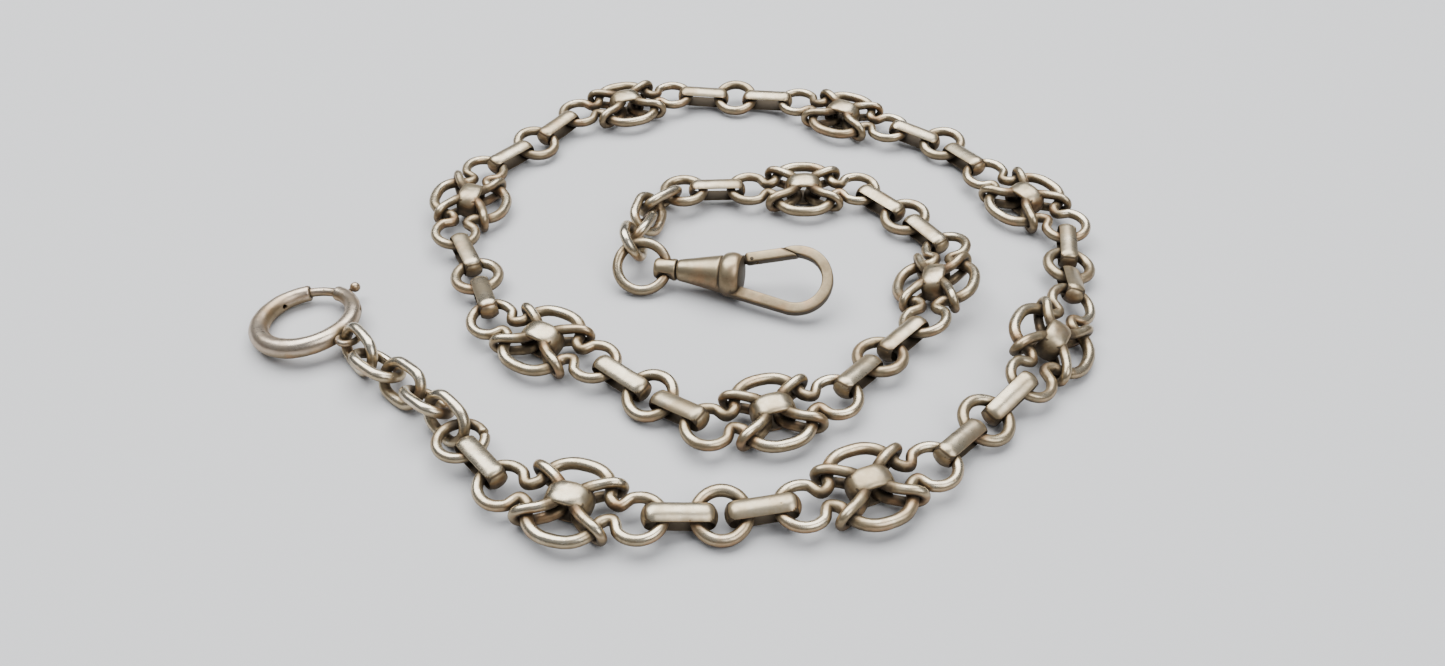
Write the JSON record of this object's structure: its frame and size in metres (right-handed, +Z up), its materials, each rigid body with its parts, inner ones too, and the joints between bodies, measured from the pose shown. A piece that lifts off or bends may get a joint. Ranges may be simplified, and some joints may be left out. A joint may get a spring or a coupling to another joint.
{
  "type": "pocket watch chain",
  "caption": "Silver watch chain lying in a loose spiral: open fancy links, round rings and barrel links, with a bolt ring at the outer end and a dog clip at the inner end.",
  "frame": {"origin": "on the plane the chain lies on, under the middle of its outline", "axes": "+Z up from that plane; +X to the right and +Y away from the viewer, with the bolt ring at -X"},
  "size_m": [0.099, 0.0846, 0.006],
  "materials": {
    "fancy_link_silver": "old silver wire, worn bright on top and tarnished in the corners",
    "plain_silver": "old silver wire, lightly tarnished",
    "barrel_silver": "old silver strip, worn smooth on its domed outside",
    "clip_silver": "polished old silver with fine scratches",
    "spring_silver": "polished silver, satin where it slides"
  },
  "bodies": {
    "fancy_link_01": {"fancy_link_01": "fancy_link_silver"},
    "fancy_link_02": {"fancy_link_02": "fancy_link_silver"},
    "fancy_link_03": {"fancy_link_03": "fancy_link_silver"},
    "fancy_link_04": {"fancy_link_04": "fancy_link_silver"},
    "fancy_link_05": {"fancy_link_05": "fancy_link_silver"},
    "fancy_link_06": {"fancy_link_06": "fancy_link_silver"},
    "fancy_link_07": {"fancy_link_07": "fancy_link_silver"},
    "fancy_link_08": {"fancy_link_08": "fancy_link_silver"},
    "fancy_link_09": {"fancy_link_09": "fancy_link_silver"},
    "fancy_link_10": {"fancy_link_10": "fancy_link_silver"},
    "fancy_link_11": {"fancy_link_11": "fancy_link_silver"},
    "ring_01": {"ring_01": "plain_silver"},
    "ring_02": {"ring_02": "plain_silver"},
    "ring_03": {"ring_03": "plain_silver"},
    "ring_04": {"ring_04": "plain_silver"},
    "ring_05": {"ring_05": "plain_silver"},
    "ring_06": {"ring_06": "plain_silver"},
    "ring_07": {"ring_07": "plain_silver"},
    "ring_08": {"ring_08": "plain_silver"},
    "ring_09": {"ring_09": "plain_silver"},
    "ring_10": {"ring_10": "plain_silver"},
    "ring_11": {"ring_11": "plain_silver"},
    "jump_ring": {"jump_ring": "plain_silver"},
    "barrel_01": {"barrel_01": "barrel_silver"},
    "barrel_02": {"barrel_02": "barrel_silver"},
    "barrel_03": {"barrel_03": "barrel_silver"},
    "barrel_04": {"barrel_04": "barrel_silver"},
    "barrel_05": {"barrel_05": "barrel_silver"},
    "barrel_06": {"barrel_06": "barrel_silver"},
    "barrel_07": {"barrel_07": "barrel_silver"},
    "barrel_08": {"barrel_08": "barrel_silver"},
    "barrel_09": {"barrel_09": "barrel_silver"},
    "barrel_10": {"barrel_10": "barrel_silver"},
    "barrel_11": {"barrel_11": "barrel_silver"},
    "barrel_12": {"barrel_12": "barrel_silver"},
    "barrel_13": {"barrel_13": "barrel_silver"},
    "barrel_14": {"barrel_14": "barrel_silver"},
    "barrel_15": {"barrel_15": "barrel_silver"},
    "barrel_16": {"barrel_16": "barrel_silver"},
    "barrel_17": {"barrel_17": "barrel_silver"},
    "barrel_18": {"barrel_18": "barrel_silver"},
    "barrel_19": {"barrel_19": "barrel_silver"},
    "barrel_20": {"barrel_20": "barrel_silver"},
    "barrel_21": {"barrel_21": "barrel_silver"},
    "barrel_22": {"barrel_22": "barrel_silver"},
    "cable_link_1": {"cable_link_1": "plain_silver"},
    "cable_link_2": {"cable_link_2": "plain_silver"},
    "cable_link_3": {"cable_link_3": "plain_silver"},
    "cable_link_4": {"cable_link_4": "plain_silver"},
    "cable_link_5": {"cable_link_5": "plain_silver"},
    "clip_link_1": {"clip_link_1": "plain_silver"},
    "clip_link_2": {"clip_link_2": "plain_silver"},
    "clip_link_3": {"clip_link_3": "plain_silver"},
    "clip_link_4": {"clip_link_4": "plain_silver"},
    "bolt_ring": {"bolt_ring": "clip_silver"},
    "bolt": {"bolt": "spring_silver"},
    "clip_ring": {"clip_ring": "clip_silver"},
    "clip_swivel": {"clip_swivel": "clip_silver"},
    "clip_body": {"clip_body": "clip_silver"},
    "clip_gate": {"clip_gate": "clip_silver"}
  },
  "joints": [
    {"name": "bolt_draw", "type": "hinge", "parent": "bolt_ring", "child": "bolt", "pos_m": [-0.04322, -0.0102, 0.00172], "axis": [0.0877, -0.0569, -0.9945], "range_deg": [0, 40], "stiffness_Nm_per_rad": 0.0012},
    {"name": "clip_gate_press", "type": "hinge", "parent": "clip_body", "child": "clip_gate", "pos_m": [0.00741, -0.00218, 0.004], "axis": [0.1613, 0.4764, -0.8643], "range_deg": [0, 24], "stiffness_Nm_per_rad": 0.0015},
    {"name": "clip_spin", "type": "hinge", "parent": "clip_swivel", "child": "clip_body", "pos_m": [-0.00134, -0.0021, 0.00241], "axis": [0.9744, -0.216, 0.0628], "continuous": true},
    {"name": "clip_swing", "type": "hinge", "parent": "clip_ring", "child": "clip_swivel", "pos_m": [-0.00269, -0.0018, 0.00233], "axis": [0.1045, 0.8147, 0.5704], "range_deg": [-35, 20]},
    {"name": "tip_clip_ring", "type": "hinge", "parent": "clip_link_4", "child": "clip_ring", "pos_m": [-0.0069, -0.00051, 0.00444], "axis": [0.5217, -0.2882, -0.803], "range_deg": [-25, 35]},
    {"name": "tip_bolt_ring", "type": "hinge", "parent": "cable_link_1", "child": "bolt_ring", "pos_m": [-0.03751, -0.01388, 0.00262], "axis": [0.3488, 0.2168, 0.9118], "range_deg": [-30, 21]},
    {"name": "tip_fancy_link_01", "type": "hinge", "parent": "barrel_02", "child": "fancy_link_01", "pos_m": [-0.00164, -0.03907, 0.00216], "axis": [0.0784, -0.9922, -0.0973], "range_deg": [-22, 15]},
    {"name": "tip_fancy_link_02", "type": "hinge", "parent": "barrel_04", "child": "fancy_link_02", "pos_m": [0.02629, -0.03098, 0.00217], "axis": [0.7139, -0.6938, -0.095], "range_deg": [-22, 15]},
    {"name": "tip_fancy_link_03", "type": "hinge", "parent": "barrel_06", "child": "fancy_link_03", "pos_m": [0.04421, -0.00623, 0.00266], "axis": [0.9176, -0.2221, -0.3297], "range_deg": [-22, 15]},
    {"name": "tip_fancy_link_04", "type": "hinge", "parent": "barrel_08", "child": "fancy_link_04", "pos_m": [0.03738, 0.02072, 0.00212], "axis": [0.8632, 0.4855, 0.1385], "range_deg": [-22, 15]},
    {"name": "tip_fancy_link_05", "type": "hinge", "parent": "barrel_10", "child": "fancy_link_05", "pos_m": [0.01246, 0.03777, 0.00199], "axis": [0.1912, 0.9766, 0.0989], "range_deg": [-22, 15]},
    {"name": "tip_fancy_link_07", "type": "hinge", "parent": "barrel_13", "child": "fancy_link_07", "pos_m": [-0.02609, 0.02143, 0.00191], "axis": [0.7689, -0.6286, -0.1167], "range_deg": [-22, 15]},
    {"name": "tip_fancy_link_08", "type": "hinge", "parent": "barrel_15", "child": "fancy_link_08", "pos_m": [-0.02294, -0.00836, 0.00223], "axis": [0.9322, 0.3527, 0.0811], "range_deg": [-22, 15]},
    {"name": "tip_fancy_link_09", "type": "hinge", "parent": "barrel_17", "child": "fancy_link_09", "pos_m": [0.00053, -0.02589, 0.00228], "axis": [0.6179, 0.7841, 0.0583], "range_deg": [-22, 15]},
    {"name": "tip_fancy_link_10", "type": "hinge", "parent": "barrel_19", "child": "fancy_link_10", "pos_m": [0.02496, -0.01267, 0.002], "axis": [-0.6739, 0.6969, -0.2455], "range_deg": [-22, 15]},
    {"name": "tip_fancy_link_11", "type": "hinge", "parent": "barrel_21", "child": "fancy_link_11", "pos_m": [0.02303, 0.01357, 0.00189], "axis": [-0.7256, -0.6843, -0.0719], "range_deg": [-22, 15]},
    {"name": "tip_ring_01", "type": "hinge", "parent": "barrel_03", "child": "ring_01", "pos_m": [0.00626, -0.03829, 0.00179], "axis": [-0.1204, 0.932, 0.3419], "range_deg": [-25, 18]},
    {"name": "tip_ring_02", "type": "hinge", "parent": "barrel_05", "child": "ring_02", "pos_m": [0.03273, -0.02431, 0.00177], "axis": [-0.6867, 0.6726, 0.2756], "range_deg": [-25, 18]},
    {"name": "tip_ring_03", "type": "hinge", "parent": "barrel_07", "child": "ring_03", "pos_m": [0.04569, 0.00197, 0.00177], "axis": [-0.9809, 0.1639, 0.1045], "range_deg": [-25, 18]},
    {"name": "tip_ring_04", "type": "hinge", "parent": "barrel_09", "child": "ring_04", "pos_m": [0.03187, 0.02787, 0.00161], "axis": [-0.4481, -0.8717, -0.1982], "range_deg": [-25, 18]},
    {"name": "tip_ring_05", "type": "hinge", "parent": "barrel_11", "child": "ring_05", "pos_m": [0.00328, 0.0392, 0.00171], "axis": [-0.0316, -0.9508, -0.3082], "range_deg": [-25, 18]},
    {"name": "tip_ring_06", "type": "hinge", "parent": "barrel_12", "child": "ring_06", "pos_m": [-0.0203, 0.02885, 0.00179], "axis": [-0.7984, 0.5515, 0.2417], "range_deg": [-25, 18]},
    {"name": "tip_ring_07", "type": "hinge", "parent": "barrel_14", "child": "ring_07", "pos_m": [-0.02621, -0.00025, 0.00176], "axis": [-0.9004, -0.435, 0], "range_deg": [-25, 18]},
    {"name": "tip_ring_08", "type": "hinge", "parent": "barrel_16", "child": "ring_08", "pos_m": [-0.00567, -0.02093, 0.00177], "axis": [-0.5908, -0.7308, -0.342], "range_deg": [-25, 18]},
    {"name": "tip_ring_09", "type": "hinge", "parent": "barrel_18", "child": "ring_09", "pos_m": [0.0195, -0.01844, 0.00177], "axis": [0.774, -0.6293, 0.0697], "range_deg": [-25, 18]},
    {"name": "tip_ring_10", "type": "hinge", "parent": "barrel_20", "child": "ring_10", "pos_m": [0.02815, 0.00735, 0.00172], "axis": [0.8505, 0.4968, 0.1727], "range_deg": [-25, 18]},
    {"name": "tip_ring_11", "type": "hinge", "parent": "barrel_22", "child": "ring_11", "pos_m": [0.00137, 0.01495, 0.00212], "axis": [-0.0587, 0.9983, 0], "range_deg": [-25, 18]},
    {"name": "tip_jump_ring", "type": "hinge", "parent": "barrel_01", "child": "jump_ring", "pos_m": [-0.02085, -0.03114, 0.00212], "axis": [0.76, 0.6499, 0], "range_deg": [-25, 18]},
    {"name": "swing_barrel_01", "type": "hinge", "parent": "fancy_link_01", "child": "barrel_01", "pos_m": [-0.01742, -0.03515, 0.00207], "axis": [-0.0306, -0.1, 0.9945], "range_deg": [-12, 35]},
    {"name": "swing_barrel_02", "type": "hinge", "parent": "ring_01", "child": "barrel_02", "pos_m": [0.00378, -0.0386, 0.00176], "axis": [0.0336, -0.3404, 0.9397], "range_deg": [-8, 30]},
    {"name": "swing_barrel_03", "type": "hinge", "parent": "fancy_link_02", "child": "barrel_03", "pos_m": [0.01154, -0.03771, 0.00207], "axis": [0.0375, -0.0976, 0.9945], "range_deg": [-8, 30]},
    {"name": "swing_barrel_04", "type": "hinge", "parent": "ring_02", "child": "barrel_04", "pos_m": [0.03098, -0.0261, 0.00176], "axis": [0.1954, -0.1944, 0.9613], "range_deg": [-6, 25]},
    {"name": "swing_barrel_05", "type": "hinge", "parent": "fancy_link_03", "child": "barrel_05", "pos_m": [0.03658, -0.02066, 0.00245], "axis": [0.2962, -0.171, 0.9397], "range_deg": [-4, 20]},
    {"name": "swing_barrel_06", "type": "hinge", "parent": "ring_03", "child": "barrel_06", "pos_m": [0.04528, -0.0005, 0.00176], "axis": [0.1027, -0.0197, 0.9945], "range_deg": [-2, 20]},
    {"name": "swing_barrel_07", "type": "hinge", "parent": "fancy_link_04", "child": "barrel_07", "pos_m": [0.04659, 0.00717, 0.00209], "axis": [-0.114, -0.0798, 0.9903], "range_deg": [-2, 15]},
    {"name": "swing_barrel_08", "type": "hinge", "parent": "ring_04", "child": "barrel_08", "pos_m": [0.03408, 0.0267, 0.00176], "axis": [-0.1473, -0.1467, 0.9781], "range_deg": [-2, 15]},
    {"name": "swing_barrel_09", "type": "hinge", "parent": "fancy_link_05", "child": "barrel_09", "pos_m": [0.02694, 0.0303, 0.00207], "axis": [-0.0523, -0.0905, 0.9945], "range_deg": [-2, 15]},
    {"name": "swing_barrel_10", "type": "hinge", "parent": "ring_05", "child": "barrel_10", "pos_m": [0.00578, 0.0391, 0.00176], "axis": [-0.0339, -0.3071, 0.9511], "range_deg": [-6, 12]},
    {"name": "swing_barrel_11", "type": "hinge", "parent": "fancy_link_06", "child": "barrel_11", "pos_m": [-0.00339, 0.03931, 0.00206], "axis": [0.0312, -0.0814, 0.9962], "range_deg": [-5, 12]},
    {"name": "swing_barrel_12", "type": "hinge", "parent": "fancy_link_06", "child": "barrel_12", "pos_m": [-0.01646, 0.03429, 0.00206], "axis": [0.0312, -0.0814, 0.9962], "range_deg": [-6, 5]},
    {"name": "swing_barrel_13", "type": "hinge", "parent": "ring_06", "child": "barrel_13", "pos_m": [-0.02172, 0.0268, 0.00176], "axis": [0.193, -0.1459, 0.9703], "range_deg": [-5, 8]},
    {"name": "swing_barrel_14", "type": "hinge", "parent": "fancy_link_07", "child": "barrel_14", "pos_m": [-0.02905, 0.00564, 0.00209], "axis": [0.1384, -0.0145, 0.9903], "range_deg": [-5, 9]},
    {"name": "swing_barrel_15", "type": "hinge", "parent": "ring_07", "child": "barrel_15", "pos_m": [-0.02512, -0.0025, 0.00176], "axis": [0, 0, 1], "range_deg": [-6, 14]},
    {"name": "swing_barrel_16", "type": "hinge", "parent": "fancy_link_08", "child": "barrel_16", "pos_m": [-0.00996, -0.0176, 0.00207], "axis": [-0.0523, -0.0905, 0.9945], "range_deg": [-5, 12]},
    {"name": "swing_barrel_17", "type": "hinge", "parent": "ring_08", "child": "barrel_17", "pos_m": [-0.00372, -0.0225, 0.00176], "axis": [-0.2118, -0.2686, 0.9397], "range_deg": [-5, 12]},
    {"name": "swing_barrel_18", "type": "hinge", "parent": "fancy_link_09", "child": "barrel_18", "pos_m": [0.01574, -0.02304, 0.00207], "axis": [0.0323, -0.0994, 0.9945], "range_deg": [-8, 8]},
    {"name": "swing_barrel_19", "type": "hinge", "parent": "ring_09", "child": "barrel_19", "pos_m": [0.02108, -0.0165, 0.00176], "axis": [-0.0518, 0.0467, 0.9976], "range_deg": [-12, 8]},
    {"name": "swing_barrel_20", "type": "hinge", "parent": "fancy_link_10", "child": "barrel_20", "pos_m": [0.03094, 0.00236, 0.0023], "axis": [-0.2622, 0.0852, 0.9613], "range_deg": [-20, 8]},
    {"name": "swing_barrel_21", "type": "hinge", "parent": "ring_10", "child": "barrel_21", "pos_m": [0.02688, 0.0095, 0.00176], "axis": [-0.1397, -0.1032, 0.9848], "range_deg": [-25, 8]},
    {"name": "swing_barrel_22", "type": "hinge", "parent": "fancy_link_11", "child": "barrel_22", "pos_m": [0.00738, 0.0153, 0.00207], "axis": [0, -0.1045, 0.9945], "range_deg": [-30, 20]},
    {"name": "tip_cable_link_1", "type": "hinge", "parent": "cable_link_2", "child": "cable_link_1", "pos_m": [-0.03545, -0.01661, 0.0024], "axis": [0.509, 0.7014, -0.4991], "range_deg": [-30, 30]},
    {"name": "tip_cable_link_2", "type": "hinge", "parent": "cable_link_3", "child": "cable_link_2", "pos_m": [-0.03216, -0.01913, 0.0021], "axis": [0.4233, 0.4838, 0.766], "range_deg": [-30, 30]},
    {"name": "tip_cable_link_3", "type": "hinge", "parent": "cable_link_4", "child": "cable_link_3", "pos_m": [-0.02882, -0.02202, 0.00206], "axis": [0.5811, 0.5347, -0.6135], "range_deg": [-30, 30]},
    {"name": "tip_cable_link_4", "type": "hinge", "parent": "cable_link_5", "child": "cable_link_4", "pos_m": [-0.02629, -0.02436, 0.00275], "axis": [0.4325, 0.2295, 0.8719], "range_deg": [-30, 30]},
    {"name": "tip_cable_link_5", "type": "hinge", "parent": "jump_ring", "child": "cable_link_5", "pos_m": [-0.02354, -0.02716, 0.00212], "axis": [-0.886, -0.4637, 0], "range_deg": [-8, 30]},
    {"name": "tip_clip_link_1", "type": "hinge", "parent": "ring_11", "child": "clip_link_1", "pos_m": [-0.0031, 0.0133, 0.00212], "axis": [0.6039, -0.7971, 0], "range_deg": [-30, 30]},
    {"name": "tip_clip_link_2", "type": "hinge", "parent": "clip_link_1", "child": "clip_link_2", "pos_m": [-0.00596, 0.01017, 0.00257], "axis": [0.4714, -0.3132, 0.8245], "range_deg": [-30, 30]},
    {"name": "tip_clip_link_3", "type": "hinge", "parent": "clip_link_2", "child": "clip_link_3", "pos_m": [-0.00604, 0.00664, 0.00215], "axis": [0.7341, -0.1223, -0.6679], "range_deg": [-30, 30]},
    {"name": "tip_clip_link_4", "type": "hinge", "parent": "clip_link_3", "child": "clip_link_4", "pos_m": [-0.00696, 0.00295, 0.00316], "axis": [0.66, -0.0067, 0.7513], "range_deg": [-30, 30]}
  ]
}
